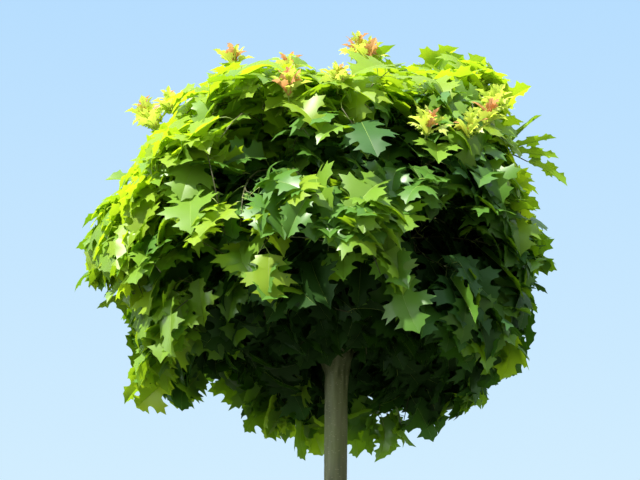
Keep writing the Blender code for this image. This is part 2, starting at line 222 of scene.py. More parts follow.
def crownReach(direction):
    wide = math.hypot(direction.x, direction.y) / crown["halfWidth"]
    high = abs(direction.z) / crown["halfHeight"]
    power = crown["squareness"]
    reach = (wide**power + high**power) ** (-1 / power)
    for axis, spread, height in lumpList:
        angle = math.degrees(math.acos(max(-1.0, min(1.0, direction.dot(axis)))))
        if angle < crown["lumpEdge"] * spread:
            reach += height * math.exp(-((angle / spread) ** 2))
    return reach


def hemElevation(direction):
    azimuth = math.degrees(math.atan2(direction.y, direction.x)) % 360.0
    places = list(hem.values())
    for (low, first), (high, second) in zip(places, places[1:] + [(360.0, places[0][1])]):
        if azimuth <= high:
            return first + (second - first) * (azimuth - low) / (high - low)


def shareOf(point):  # how far out a point is: 0 at the crown's centre, 1 at its outline
    offset = point - centre
    return offset.length / crownReach(offset.normalized())


def aboveHem(point, slack=0.0):  # inside the crown the leaves hang lower than they do at its rim
    direction = (point - centre).normalized()
    beside = math.hypot(point.x, point.y)
    if point.z < centre.z and beside < crown["stemClearance"]:
        return False
    if point.z > crown["headLowest"] and beside < crown["headWidth"]:
        return True
    slack += crown["innerHem"] * max(0.0, crown["rimShare"] - shareOf(point))
    lowest = max(hemElevation(direction) - slack, crown["innerLowest"])
    return math.degrees(math.asin(direction.z)) > lowest


def massOf(direction):
    return max(wedges, key=lambda name: wedges[name].dot(direction))


def across(direction):  # two ways at right angles to this one and to each other
    guide = Vector((1, 0, 0)) if abs(direction.x) < 0.8 else Vector((0, 1, 0))
    first = direction.cross(guide).normalized()
    return first, direction.cross(first).normalized()


def squareTo(way, other):  # the way, turned until it is at right angles to the other
    return (way - other * way.dot(other)).normalized()


def wander(rng, most):
    return Vector((rng.uniform(-1, 1), rng.uniform(-1, 1), rng.uniform(-1, 1))) * most


def meshObject(name, points, triangles, material):
    points = np.asarray(points, np.float32).reshape(-1, 3)
    triangles = np.asarray(triangles, np.int32).reshape(-1, 3)
    mesh = bpy.data.meshes.new(name)
    mesh.vertices.add(len(points))
    mesh.vertices.foreach_set("co", points.ravel())
    mesh.loops.add(triangles.size)
    mesh.loops.foreach_set("vertex_index", triangles.ravel())
    mesh.polygons.add(len(triangles))
    mesh.polygons.foreach_set("loop_start", np.arange(0, triangles.size, 3, dtype=np.int32))
    mesh.polygons.foreach_set("use_smooth", np.full(len(triangles), True))
    mesh.update(calc_edges=True)
    mesh.materials.append(material)
    piece = bpy.data.objects.new(name, mesh)
    bpy.context.scene.collection.objects.link(piece)
    return piece


# Leaf blades

leafBlade = {
    "variants": 12,
    # one half of the outline, base to tip: how far along the midrib, how far out from it
    "outline": (
        (0.01, 0.03), (0.04, 0.15), (0.05, 0.30), (0.13, 0.28), (0.205, 0.385), (0.25, 0.27),
        (0.285, 0.21), (0.335, 0.19), (0.385, 0.22),
        (0.405, 0.31), (0.38, 0.46), (0.47, 0.43), (0.54, 0.59), (0.595, 0.44), (0.68, 0.47),
        (0.66, 0.31), (0.665, 0.24), (0.70, 0.195), (0.75, 0.19),
        (0.785, 0.23), (0.85, 0.345), (0.885, 0.21), (0.95, 0.19), (0.985, 0.08),
    ),
    "inside": ((0.14, 0.13), (0.53, 0.24), (0.82, 0.07)),  # points within the lobes
    "midrib": (0.0, 0.17, 0.36, 0.54, 0.70, 0.86, 1.06),
    "lobeJitter": 0.14,
    "fold": (8.0, 44.0),  # how far each half is folded up, in degrees
    "arch": (15.0, 80.0),  # how far the blade bends down along its length, in degrees
    "curl": (0.1, 1.0),  # how much the lobes' ends curl down
    "ripple": 0.05,
    "rippleTurns": 9.0,
    "phases": 6.0,
    "sideways": 0.10,  # how far the tip swings to a side
    "bendSteps": 8,
    "bendPower": 1.3,  # above 1 the blade bends most near its tip
    "lobeEnds": (0.30, 0.67),  # where along the blade the first two lobes end
    "lobeSlide": 0.15,
    "ribThickness": 0.0055,  # of the blade's length
    "ribTaper": (1.0, 0.9, 0.75, 0.6, 0.45, 0.3, 0.1),
    "ribSides": 3,
}


def bladeForm(rng):  # one variant: points, triangles and the line of the midrib
    make = leafBlade
    fold = math.radians(rng.uniform(*make["fold"]))
    arch = math.radians(rng.uniform(*make["arch"]))
    curl = rng.uniform(*make["curl"])
    sideways = rng.uniform(-make["sideways"], make["sideways"])

    def bend(u, v, side):
        along, drop, steps = 0.0, 0.0, make["bendSteps"]
        for i in range(steps):
            turn = arch * ((i + 0.5) / steps * u) ** make["bendPower"]
            along += math.cos(turn) * u / steps
            drop += math.sin(turn) * u / steps
        ripple = make["ripple"] * math.sin(make["rippleTurns"] * u + phase[side]) * abs(v)
        rise = abs(v) * math.sin(fold) - curl * v * v + ripple
        return (along, v * math.cos(fold) * side + sideways * u * u, rise - drop)

    points, triangles = [], []
    phase = {side: rng.uniform(0, make["phases"]) for side in (1, -1)}
    for side in (1, -1):
        jitter = [rng.uniform(-1, 1) * make["lobeJitter"] for _ in range(4)]
        flat = [(u, 0.0) for u in make["midrib"]]
        for u, v in reversed(make["outline"]):
            lobe = sum(u >= end for end in make["lobeEnds"])
            flat.append((u + make["lobeSlide"] * jitter[3] * v, v * (1 + jitter[lobe])))
        ring = list(range(len(flat)))
        flat += [(u, v) for u, v in make["inside"]]
        cut = delaunay_2d_cdt([Vector(p) for p in flat], [], [ring], 1, 1e-6)
        first = len(points)
        points += [bend(p.x, p.y, side) for p in cut[0]]
        for corners in cut[2]:
            a, b, c = (first + i for i in corners[:3])
            triangles.append((a, b, c) if side == 1 else (a, c, b))
    rib = [bend(u, 0.0, 1) for u in make["midrib"]]
    return np.array(points), np.array(triangles), np.array(rib)


# The five greens are lit and shaded copies of one leaf: partly painted light and shade, partly the leaves'
# own younger and older greens. The flush colours are the young shoots' own.
# Colours are dealt out by spray: what the face shows, what shines through it, the share of light
# that goes through, the roughness, and how strongly the surface shines
leafColours = {
    # painted shade: the darkest green, for leaves inside and low in the crown
    "leafPaintedShade": ((0.020, 0.058, 0.010), (0.018, 0.055, 0.002), 0.28, 0.55, 0.14),
    "leafDeep": ((0.040, 0.112, 0.024), (0.040, 0.12, 0.004), 0.32, 0.47, 0.28),
    "leafMid": ((0.088, 0.210, 0.032), (0.17, 0.33, 0.006), 0.40, 0.37, 0.50),
    "leafFresh": ((0.180, 0.325, 0.036), (0.27, 0.44, 0.009), 0.46, 0.35, 0.52),
    "leafLime": ((0.290, 0.435, 0.034), (0.40, 0.57, 0.013), 0.56, 0.38, 0.42),
    "flushYellow": ((0.50, 0.58, 0.120), (0.75, 0.88, 0.110), 0.42, 0.45, 0.50),
    "flushBronze": ((0.55, 0.25, 0.130), (0.80, 0.40, 0.160), 0.42, 0.45, 0.50),
}


def leafMaterial(name):
    face, through, share, rough, shine = leafColours[name]
    material = bpy.data.materials.new(name)
    sheet = Sheet(material)
    surface = sheet.node("ShaderNodeBsdfPrincipled", {}, {
        "Base Color": solid(face), "Roughness": rough, "Specular IOR Level": shine,
    })
    glow = sheet.node("ShaderNodeBsdfTranslucent", {}, {"Color": solid(through)})
    sheet.ends(sheet.node("ShaderNodeMixShader", {}, {0: share, 1: surface, 2: glow}))
    material.diffuse_color = solid(face)
    return material


# Growth of the twigs and leaves

# The way to each lamp, seen from the crown. The first two also decide which leaves get paler greens, as
# painted light.
light = {
    "sunward": bearing(230.0, 49.0),
    "fillward": bearing(198.0, -4.0),
    "backward": bearing(60.0, 18.0),
    "sideward": bearing(318.0, -8.0),
}

growth = {
    "seed": 5,
    "outerSprays": 26,
    "outerDepths": (0.76, 0.90),  # shares of the way from the centre to the outline
    "innerSprays": 19,
    "innerDepths": (0.42, 0.66),
    "headSprays": 5,
    "headRing": (0.10, 0.20),  # how far from the stem these stand, and how high
    "headHeights": (2.25, 2.37),
    "headSpread": 24.0,
    "sprayTrials": 120,
    "wedgeScatter": 0.62,
    "creaseShare": 0.8,  # of the creases' depth, for the ends of the twigs
    "hemInset": 6.0,  # how far above the hem they end, in degrees
    "leavesPerSpray": (7, 9),
    "leafSpacing": 0.010,
    "leafTrials": 4,
    "leafLength": (0.098, 0.146),
    "leafWidth": (0.86, 1.08),
    "stalk": (0.020, 0.042),
    "stalkRise": 0.003,
    "stalkRadii": (0.0010, 0.0008, 0.0008),
    "stalkSides": 3,
}

# The leaves stand in clumps with creases between them
clumps = {
    "size": 0.33,  # of the crown's half width
    "flatness": 1.5,
    "creaseWidth": 0.11,
    "creaseDepth": 0.30,
    "shift": Vector((3.7, 1.2, 8.4)),
}

# Hollows in the leafy face, where the view goes into the dark middle: azimuth, elevation, spread,
# and the share of the reach that no leaf goes past there
hollows = {
    "rightFace": (300, -17, 10, 0.60),
    "rightFaceSide": (316, -12, 6, 0.66),
    "leftFace": (231, -15, 6, 0.66),
    "lowerLeftFace": (240, -24, 5, 0.68),
    "topLeftFold": (256, 10, 9, 0.66),
    "topRightFold": (291, 16, 9, 0.68),
    "middleFold": (275, 9, 5, 0.72),
    "middleFoldLow": (274, -1, 5, 0.74),
    "leftTier": (250, -4, 6, 0.72),
}
hollowList = [(bearing(a, e), spread, share) for a, e, spread, share in hollows.values()]

# Long shoots that make the outline: azimuth, elevation, and the reach of their furthest leaf tip
rimShoots = {
    "topLeftLump": (221, 56, 0.535),
    "topLeftEdge": (212, 50, 0.530),
    "leftShoulder": (197, 41, 0.545),
    "leftShoulderTip": (190, 35, 0.560),
    "leftUpper": (186, 19, 0.574),
    "leftMiddle": (184, 9, 0.620),
    "leftMiddleLow": (184, 1, 0.618),
    "leftFar": (183, -6, 0.645),
    "leftLower": (180, -14, 0.583),
    "leftSkirt": (178, -37, 0.626),
    "leftSkirtTip": (179, -41.5, 0.628),
    "backSkirtLeft": (120, -53, 0.539),
    "backSkirtMiddle": (103, -57, 0.576),
    "backSkirtRight": (57, -54, 0.605),
    "backSkirtFarRight": (40, -49, 0.585),
    "rightSkirt": (14, -40, 0.559),
    "rightLow": (6, -31, 0.586),
    "rightLowTip": (2, -21, 0.574),
    "rightMiddle": (0, -9, 0.578),
    "rightMiddleHigh": (358, -3, 0.592),
    "rightUpper": (347, 37, 0.663),
    "rightUpperInner": (344, 41, 0.625),
    "topRightTip": (339, 47.5, 0.640),
    "topRightMiddle": (334, 51, 0.610),
    "topRight": (331, 54, 0.612),
    "crestRight": (305, 62, 0.545),
    "frontRim": (263, -27, 0.560),
    "frontLeftSkirt": (206, -31, 0.565),
    "frontLeftSkirtLow": (209, -38, 0.558),
    "frontRightSkirt": (318, -30, 0.572),
    "frontRightSkirtLow": (322, -38, 0.562),
}

# Young shoots, still small and yellow with bronze tips: azimuth, elevation, reach of the top,
# height, and the share of bronze leaves
flushShoots = {
    "crest": (292, 64, 0.540, 0.085, 0.40),
    "crestSide": (297, 61, 0.522, 0.060, 0.30),
    "topLeft": (221, 57, 0.546, 0.060, 0.45),
    "leftShoulder": (190, 38, 0.588, 0.070, 0.22),
    "leftShoulderOuter": (193, 36, 0.550, 0.055, 0.15),
    "leftShoulderInner": (197, 42, 0.548, 0.060, 0.30),
    "upperMiddle": (261, 27, 0.575, 0.070, 0.25),
    "upperMiddleRight": (274, 29, 0.570, 0.060, 0.10),
    "rightFront": (296, 17, 0.570, 0.060, 0.45),
    "rightFrontHigh": (308, 19, 0.590, 0.080, 0.15),
    "rightShoulder": (316, 24, 0.600, 0.080, 0.20),
    "rightShoulderHigh": (321, 29, 0.610, 0.080, 0.10),
    "back": (96, 52, 0.560, 0.070, 0.35),
    "backLeft": (140, 30, 0.575, 0.060, 0.30),
    "backRight": (50, 38, 0.575, 0.070, 0.30),
    "top": (180, 80, 0.530, 0.060, 0.30),
}

# The open shoot at the right shoulder: where it forks, and the tips of its half rolled leaves
openShoot = {
    "fork": (351, 26.5, 0.520),
    "tips": ((349.5, 31, 0.640), (352, 25, 0.650), (353, 20.5, 0.638), (355.5, 15, 0.648)),
    "leafLength": 0.112,
    "leafWidth": 0.50,
    "faceUp": 0.8,
    "scatter": 0.5,
    "twigRise": 0.003,
    "twigRadii": (0.0022, 0.0018, 0.0013),
}


def crease(direction):
    place = Vector((direction.x, direction.y, direction.z * clumps["flatness"])) / clumps["size"]
    return math.exp(-((noise.noise(place + clumps["shift"]) / clumps["creaseWidth"]) ** 2))


def inHollow(point):  # whether leaves would stand where the crown has a crease or hollow
    offset = point - centre
    direction = offset.normalized()
    share = offset.length / crownReach(direction)
    if share > 1 - clumps["creaseDepth"] * crease(direction):
        return True
    return any(share > most and math.degrees(direction.angle(axis)) < spread
               for axis, spread, most in hollowList)


def boughTip(name):
    axis = wedges[name]
    lift = crown["boughLift"] * math.hypot(axis.x, axis.y)
    return centre + axis * crown["bareRadius"], (axis + up * lift).normalized()


def sprayEnds(name, rng, shoots):
    make, taken = growth, list(shoots)
    depths = [make["outerDepths"]] * make["outerSprays"] + [make["innerDepths"]] * make["innerSprays"]
    for low, high in depths:
        best, bestGap = None, 0.0
        for _ in range(make["sprayTrials"]):
            direction = (wedges[name] + wander(rng, make["wedgeScatter"])).normalized()
            if massOf(direction) != name:
                continue
            limit = 1 - make["creaseShare"] * clumps["creaseDepth"] * crease(direction)
            depth = min(rng.uniform(low, high), limit)
            point = centre + direction * (crownReach(direction) * depth)
            if not aboveHem(point, -make["hemInset"]) or inHollow(point):
                continue
            gap = min([(point - other).length for other in taken], default=1.0)
            if gap > bestGap:
                best, bestGap = point, gap
        if best is not None:
            taken.append(best)
    if masses[name][1] < 0:  # leaves low round the graft head, dark with painted shade
        for _ in range(make["headSprays"]):
            aside = rng.uniform(-make["headSpread"], make["headSpread"])
            around = bearing(masses[name][0] + aside, 0.0)
            place = around * rng.uniform(*make["headRing"]) + up * rng.uniform(*make["headHeights"])
            taken.append(place)
    return taken


twigWays = {
    "sunk": 0.004,  # how far the first twig starts inside its bough
    "stemShare": 0.50,  # how far out a mass's own stem goes
    "step": 0.035,
    "bulge": 0.38,  # how long a twig keeps to its parent's way before it turns
    "flushBulge": 0.10,
    "rise": 0.05,
    "tipRadius": 0.0012,
    "pipePower": 2.3,
    "endTaper": 0.8,
    "sides": 6,
    # where a new twig starts: the nearest place costs least, a turn and a way back inwards cost more
    "turnCost": 1.7,
    "inwardCost": 2.0,
    "shortest": 0.012,
    "tooShortCost": 9.0,
}


class Twigs:  # one mass's twigs, as points with the point that each grows from
    def __init__(self, name):
        tip, axis = boughTip(name)
        self.points, self.parents, self.axes = [tip - axis * twigWays["sunk"]], [-1], [axis]
        out = twigWays["stemShare"] * crownReach(wedges[name])
        self.grow(0, centre + wedges[name] * out)

    def grow(self, start, end, bulge=twigWays["bulge"]):
        origin, axis = self.points[start], self.axes[start]
        length = (end - origin).length
        pull = origin + axis * (bulge * length) + up * (twigWays["rise"] * length)
        steps = max(2, round(length / twigWays["step"]))
        last = start
        for i in range(1, steps + 1):
            t = i / steps
            point = origin * (1 - t) ** 2 + pull * (2 * t * (1 - t)) + end * t * t
            way = ((pull - origin) * (1 - t) + (end - pull) * t).normalized()
            self.points.append(point)
            self.parents.append(last)
            self.axes.append(way)
            last = len(self.points) - 1
        return last

    def reach(self, end, bulge=twigWays["bulge"]):  # grows a twig to this end from the best place
        def cost(i):
            way = end - self.points[i]
            length = way.length
            if length < twigWays["shortest"]:
                return twigWays["tooShortCost"]
            inward = (self.points[i] - centre).length - (end - centre).length
            turned = length * (twigWays["turnCost"] - self.axes[i].dot(way / length))
            return turned + max(0.0, inward) * twigWays["inwardCost"]
        return self.grow(min(range(len(self.points)), key=cost), end, bulge)

    def radii(self):
        carried = [0] * len(self.points)
        children = [[] for _ in self.points]
        for i, parent in enumerate(self.parents):
            if parent >= 0:
                children[parent].append(i)
        for i in reversed(range(len(self.points))):
            carried[i] = sum(carried[c] for c in children[i]) or 1
        power = 1 / twigWays["pipePower"]
        return [twigWays["tipRadius"] * n**power for n in carried], children


def tubeArrays(points, radii, sides):
    rings, side, count = [], None, len(points)
    for i, point in enumerate(points):
        along = (points[min(i + 1, count - 1)] - points[max(i - 1, 0)]).normalized()
        side = across(along)[0] if side is None else squareTo(side, along)
        other = along.cross(side)
        for k in range(sides):
            turn = math.tau * k / sides
            rings.append(point + (side * math.cos(turn) + other * math.sin(turn)) * radii[i])
    faces = []
    for i in range(count - 1):
        for k in range(sides):
            a, b = i * sides + k, i * sides + (k + 1) % sides
            faces += [(a, b, b + sides), (a, b + sides, a + sides)]
    last = (count - 1) * sides
    faces += [(0, k + 1, k) for k in range(1, sides - 1)]
    faces += [(last, last + k, last + k + 1) for k in range(1, sides - 1)]
    return rings, faces


class Bundle:  # joins many small shapes into one mesh
    def __init__(self):
        self.points, self.triangles, self.count = [], [], 0

    def add(self, points, triangles):
        points = np.asarray(points, np.float32)
        self.points.append(points)
        self.triangles.append(np.asarray(triangles, np.int32) + self.count)
        self.count += len(points)

    def piece(self, name, material):
        return meshObject(name, np.vstack(self.points), np.vstack(self.triangles), material)


bladeRng = random.Random(growth["seed"])
blades = [bladeForm(bladeRng) for _ in range(leafBlade["variants"])]
leafBundles = {name: Bundle() for name in leafColours}
stalks, twigs, highRibs, lowRibs = Bundle(), Bundle(), Bundle(), Bundle()
print("leaf blades:", len(blades), "of", len(blades[0][1]), "triangles")


def addLeaf(colour, base, along, normal, length, variant, width=1.0):
    points, triangles, rib = blades[variant]
    side = normal.cross(along) * width
    turn = np.array([along, side, normal]) * length
    leafBundles[colour].add(points @ turn + np.array(base), triangles)
    line = [Vector(p) for p in rib @ turn + np.array(base)]
    radii = [leafBlade["ribThickness"] * length * taper for taper in leafBlade["ribTaper"]]
    ribs = highRibs if base.z > centre.z else lowRibs
    ribs.add(*tubeArrays(line, radii, leafBlade["ribSides"]))


# How a leaf is held: what pulls its stalk, its face and its tip, and how much of it
pose = {
    "turn": 137.5,  # degrees round the twig from one leaf to the next
    "turnScatter": 0.4,
    "stalk": {"sideways": 0.85, "forward": 0.45, "up": 0.15, "out": 0.15},
    "face": {"up": 0.80, "upLow": 0.22, "out": 0.50, "outLow": 0.16, "scatter": 0.50},
    "tip": {"stalk": 0.65, "out": 0.25, "scatter": 0.35},
    "hang": (0.05, 0.85),  # the least, and what is added from this elevation down
    "hangFrom": 62.0,
    "hangRange": 85.0,
}

# Points of a blade that must lie within the outline, in shares of its length
fitting = {
    "tip": (0.94, 0.28),  # forward and down, as the blade arches
    "side": (0.50, 0.45),  # forward and sideways
    "middle": 0.45,
    "hemSlack": 2.0,
}


def hangOf(direction):  # how much leaves hang here: little on top, most at the sides and hem
    rise = math.degrees(math.asin(direction.z))
    least, more = pose["hang"]
    return least + more * min(1.0, max(0.0, (pose["hangFrom"] - rise) / pose["hangRange"]))


def leafPose(root, twigAxis, number, rng):
    stalk, face, tip = pose["stalk"], pose["face"], pose["tip"]
    out = (root - centre).normalized()
    first, second = across(twigAxis)
    turn = math.radians(pose["turn"]) * number + rng.uniform(-pose["turnScatter"], pose["turnScatter"])
    ray = first * math.cos(turn) + second * math.sin(turn)
    stalkWay = ray * stalk["sideways"] + twigAxis * stalk["forward"]
    stalkWay = (stalkWay + up * stalk["up"] + out * stalk["out"]).normalized()
    base = root + stalkWay * rng.uniform(*growth["stalk"])
    low = max(0.0, -out.z)  # low at the sides the leaves turn their faces outward
    normal = up * (face["up"] - face["upLow"] * low) + out * (face["out"] + face["outLow"] * low)
    normal = (normal + wander(rng, face["scatter"])).normalized()
    along = stalkWay * tip["stalk"] + out * tip["out"] - up * hangOf(out) + wander(rng, tip["scatter"])
    return base, squareTo(along, normal), normal


def leafFits(base, along, normal, length):
    forward, down = fitting["tip"]
    tip = base + (along * forward - normal * down) * length
    flatTip = base + along * length
    forward, aside = fitting["side"]
    left = base + (along * forward + normal.cross(along) * aside) * length
    right = base + (along * forward - normal.cross(along) * aside) * length
    if max(shareOf(point) for point in (tip, flatTip, left, right)) > 1.0:
        return False
    if not aboveHem(tip, fitting["hemSlack"]):
        return False
    return not inHollow(base + along * (fitting["middle"] * length)) and not inHollow(tip)


# How the greens are dealt out: partly the leaves' own greens, paler outside and on top, and partly painted
# light and shade, paler towards the sun, the fill lamp, the top and the rims, darker deep inside. A
# spray's score grows with these, and it gets the first green whose limit the score passes. Below them all
# it gets the deep one.
dealing = {
    "sun": 0.37,
    "depth": 1.7,  # paler further out and darker deeper in, partly painted shade: for each share of the way out, counted from here
    "depthFrom": 0.76,
    "scatter": 0.15,
    "high": 1.8,  # painted light for facing up, from here, up to the most
    "highFrom": 0.40,
    "highMost": 0.45,
    "highShare": (0.6, 0.4),  # of it at the sides, and what the front has more and the back less
    "fill": 0.13,
    "rimward": bearing(352.0, 24.0),  # the leaves this way get paler greens, a painted glow as if lit through against the sky,
    "rim": 4.0,
    "rimFrom": 0.85,
    "hem": 1.1,  # and so do those at the lower rim
    "hemFrom": 0.42,
    "hemDepth": 0.70,
    "shadeDepth": 0.70,  # leaves inside and below get painted shade, a darker green,
    "shadeHeight": 0.12,
    "shadeFill": 0.72,  # unless they face the fill light
    "limits": (("leafLime", 0.51), ("leafFresh", 0.27), ("leafMid", -0.08)),
}


def sprayColour(point, rng):
    deal, share = dealing, shareOf(point)
    way = (point - centre).normalized()
    towardsFill = way.dot(light["fillward"])
    # painted light and shade: paler greens towards the sun and the fill lamp, darker ones deeper in
    score = deal["sun"] * way.dot(light["sunward"]) + deal["depth"] * (share - deal["depthFrom"])
    score += rng.gauss(0.0, deal["scatter"])
    high = min(deal["highMost"], deal["high"] * max(0.0, way.z - deal["highFrom"]))
    score += high * (deal["highShare"][0] - deal["highShare"][1] * way.y)
    score += deal["fill"] * towardsFill
    score += deal["rim"] * max(0.0, way.dot(deal["rimward"]) - deal["rimFrom"])
    if share > deal["hemDepth"]:
        score += deal["hem"] * max(0.0, -deal["hemFrom"] - way.z)
    # inner low leaves get the painted shade green
    if share < deal["shadeDepth"] and way.z < deal["shadeHeight"] and towardsFill < deal["shadeFill"]:
        return "leafPaintedShade"
    return next((name for name, limit in deal["limits"] if score > limit), "leafDeep")


def growSpray(end, axis, rng):
    make = growth
    colour = sprayColour(end, rng)
    for number in range(rng.randint(*make["leavesPerSpray"])):
        root = end - axis * (make["leafSpacing"] * number)
        for _ in range(make["leafTrials"]):
            base, along, normal = leafPose(root, axis, number, rng)
            length = rng.uniform(*make["leafLength"])
            if leafFits(base, along, normal, length):
                width = rng.uniform(*make["leafWidth"])
                addLeaf(colour, base, along, normal, length, rng.randrange(len(blades)), width)
                middle = root.lerp(base, 0.5) + up * make["stalkRise"]
                stalks.add(*tubeArrays([root, middle, base], make["stalkRadii"], make["stalkSides"]))
                break


rimLeaf = {
    "length": 0.122,
    "setBack": 0.135,  # how far inside the leaf's tip its shoot ends
    "face": (0.8, 0.3),  # how far it faces up, and along its twig
    "scatter": 0.35,
}


def growShoot(end, axis, tip, rng):  # a rim shoot: its first leaf's tip is just where it is asked for
    length, (rise, forward) = rimLeaf["length"], rimLeaf["face"]
    normal = up * rise + axis * forward + wander(rng, rimLeaf["scatter"])
    along = (tip - end).normalized()
    base = tip - along * length
    colour, variant = sprayColour(end, rng), rng.randrange(len(blades))
    addLeaf(colour, base, along, squareTo(normal, along), length, variant)
    stalks.add(*tubeArrays([end, base], growth["stalkRadii"], growth["stalkSides"]))


def growOpenShoot(fork, rng):  # bare twigs that fan out from a fork, one leaf at the end of each
    make = openShoot
    for azimuth, elevation, reach in make["tips"]:
        tip = centre + bearing(azimuth, elevation) * reach
        along = (tip - fork).normalized()
        base = tip - along * make["leafLength"]
        normal = squareTo(up * make["faceUp"] + wander(rng, make["scatter"]), along)
        variant = rng.randrange(len(blades))
        addLeaf("leafFresh", base, along, normal, make["leafLength"], variant, make["leafWidth"])
        line = [fork, fork.lerp(base, 0.5) + up * make["twigRise"], base]
        twigs.add(*tubeArrays(line, make["twigRadii"], twigWays["sides"]))


# Young shoots lean out a little from upright, and their leaves get smaller and steeper to the top
flush = {
    "rise": 0.75,
    "outward": 0.35,
    "leaves": 17,
    "stalkEnds": (0.0, 0.5, 0.8),
    "stalkRadii": (0.0016, 0.0013, 0.0009),
    "stalkSides": 5,
    "sideways": (0.45, 0.95),
    "spread": 1.2,  # how far the lowest leaves spread
    "forward": 0.8,
    "scatter": 0.15,
    "face": (0.7, 0.5),  # along the shoot, and back towards it
    "faceScatter": 0.2,
    "leafLength": (0.068, 0.036),  # of the lowest, and what the topmost has less
    "lengthScatter": (0.85, 1.15),
    "leafWidth": 0.55,
    "leafPlaces": (0.15, 0.62),  # where the lowest leaf is, and how far they go up from there
    "bronzeTop": 2.0,
}


def growFlush(foot, top, bronze, rng):  # a young shoot, its leaves small and still folded
    make, axis = flush, (top - foot).normalized()
    first, second = across(axis)
    line = [foot.lerp(top, end) for end in make["stalkEnds"]]
    stalks.add(*tubeArrays(line, make["stalkRadii"], make["stalkSides"]))
    for i in range(make["leaves"]):
        share = (i + 0.5) / make["leaves"]
        turn = math.radians(pose["turn"]) * i
        ray = first * math.cos(turn) + second * math.sin(turn)
        spread = ray * rng.uniform(*make["sideways"]) * (make["spread"] - share)
        along = (spread + axis * make["forward"] + wander(rng, make["scatter"])).normalized()
        normal = axis * make["face"][0] - ray * make["face"][1] + wander(rng, make["faceScatter"])
        longest, less = make["leafLength"]
        length = (longest - less * share) * rng.uniform(*make["lengthScatter"])
        start, rest = make["leafPlaces"]
        base = foot.lerp(top, start + rest * share)
        colour = "flushBronze" if rng.random() < bronze * make["bronzeTop"] * share else "flushYellow"
        variant = rng.randrange(len(blades))
        addLeaf(colour, base, along, squareTo(normal, along), length, variant, make["leafWidth"])


for index, name in enumerate(masses):
    rng = random.Random(growth["seed"] * 100 + index)
    tips = []
    for azimuth, elevation, reach in rimShoots.values():
        direction = bearing(azimuth, elevation)
        if massOf(direction) == name:
            tips.append((centre + direction * reach, direction))
    shoots = [tip - direction * rimLeaf["setBack"] for tip, direction in tips]
    grown = Twigs(name)
    ends = sprayEnds(name, rng, shoots)
    order = sorted(range(len(ends)), key=lambda i: (ends[i] - grown.points[0]).length)
    lastPoint = {i: grown.reach(ends[i]) for i in order}
    for i, end in enumerate(ends):
        axis = grown.axes[lastPoint[i]]
        if i < len(tips):
            growShoot(end, axis, tips[i][0], rng)
        growSpray(end, axis, rng)
    for azimuth, elevation, reach, height, bronze in flushShoots.values():
        direction = bearing(azimuth, elevation)
        if massOf(direction) == name:
            top = centre + direction * reach
            lean = (up * flush["rise"] + direction * flush["outward"]).normalized()
            foot = top - lean * height
            grown.reach(foot, twigWays["flushBulge"])
            growFlush(foot, top, bronze, rng)
    if massOf(bearing(*openShoot["fork"][:2])) == name:
        fork = centre + bearing(*openShoot["fork"][:2]) * openShoot["fork"][2]
        grown.reach(fork)
        growOpenShoot(fork, rng)
    radii, children = grown.radii()
    for i, parent in enumerate(grown.parents):  # one tube for each run from a fork to the next
        if parent >= 0 and (parent == 0 or len(children[parent]) > 1):
            run, current = [parent, i], i
            while len(children[current]) == 1:
                current = children[current][0]
                run.append(current)
            sizes = [radii[k] for k in run]
            sizes[0] = radii[i]
            if not children[current]:
                sizes[-1] *= twigWays["endTaper"]
            twigs.add(*tubeArrays([grown.points[k] for k in run], sizes, twigWays["sides"]))
    print("grew", name, "with", len(ends), "sprays")


# Stem, graft head and boughs

stem = {
    "height": 2.16,
    "lean": Vector((0.004, 0.006, 0.0)),
    "bow": 0.007,
    "groundRadius": 0.040,
    "topRadius": 0.0275,
    "taper": 0.62,
    "flareWidth": 0.016,
    "flareHeight": 0.041,
    "flareRoots": 5,
    "rootDepth": 0.007,
    "rootHeight": 0.09,
    "rootTurn": 0.6,
    "headHeight": 0.145,
    "headSwell": 0.0286,
    "headSwellTop": 1.12,
    "headRoundness": 1.5,
    "topShare": 0.97,  # of the graft head's height that is built
    "columns": 84,
    "cutFace": 0.0005,  # below this the bark has no relief
    "cuts": 25,  # each of two rounds of cuts divides every length into one more
}

# Scars of pruned side branches: height and azimuth on the stem, and half the scar's height
scars = {
    "low": (0.46, 285.0, 0.011),
    "lowBack": (0.83, 95.0, 0.010),
    "middle": (1.12, 230.0, 0.012),
    "middleRight": (1.47, 340.0, 0.009),
    "high": (1.71, 262.0, 0.010),
    "highBack": (1.93, 60.0, 0.009),
}


def stemAxis(height):
    share = height / stem["height"]
    bow = stem["bow"] * math.sin(math.pi * min(share, 1.0))
    return Vector((stem["lean"].x * share - bow, stem["lean"].y * share, height))


def stemRadius(height, turn):
    if height > stem["height"]:
        share = (height - stem["height"]) / stem["headHeight"]
        swell = math.sin(math.pi * min(share / stem["headSwellTop"], 1.0)) ** stem["headRoundness"]
        return stem["topRadius"] * (1 - share) + stem["headSwell"] * swell
    share = height / stem["height"]
    radius = stem["groundRadius"] + (stem["topRadius"] - stem["groundRadius"]) * share ** stem["taper"]
    radius += stem["flareWidth"] * math.exp(-height / stem["flareHeight"])
    root = stem["rootDepth"] * math.exp(-height / stem["rootHeight"])
    return radius + root * math.sin(stem["flareRoots"] * turn + stem["rootTurn"])


# The bark's relief
relief = {
    "layers": ((1.3, 7.0, 0.0011), (5.0, 9.0, 0.0006), (14.0, 38.0, 0.0004)),  # round, along, height
    "scarGirth": 0.034,  # the stem's radius at the scars, and how wide a scar is for its height
    "scarWidth": 0.75,
    "scarEdge": 3.0,
    "scarRim": (0.0034, 5.0),  # height, and how narrow it is
    "scarHollow": (0.0016, 4.0),
    "callus": (2.2, 26.0, 0.0050),  # the graft's lumps: round, along, height
    "callusStart": 0.06,
}


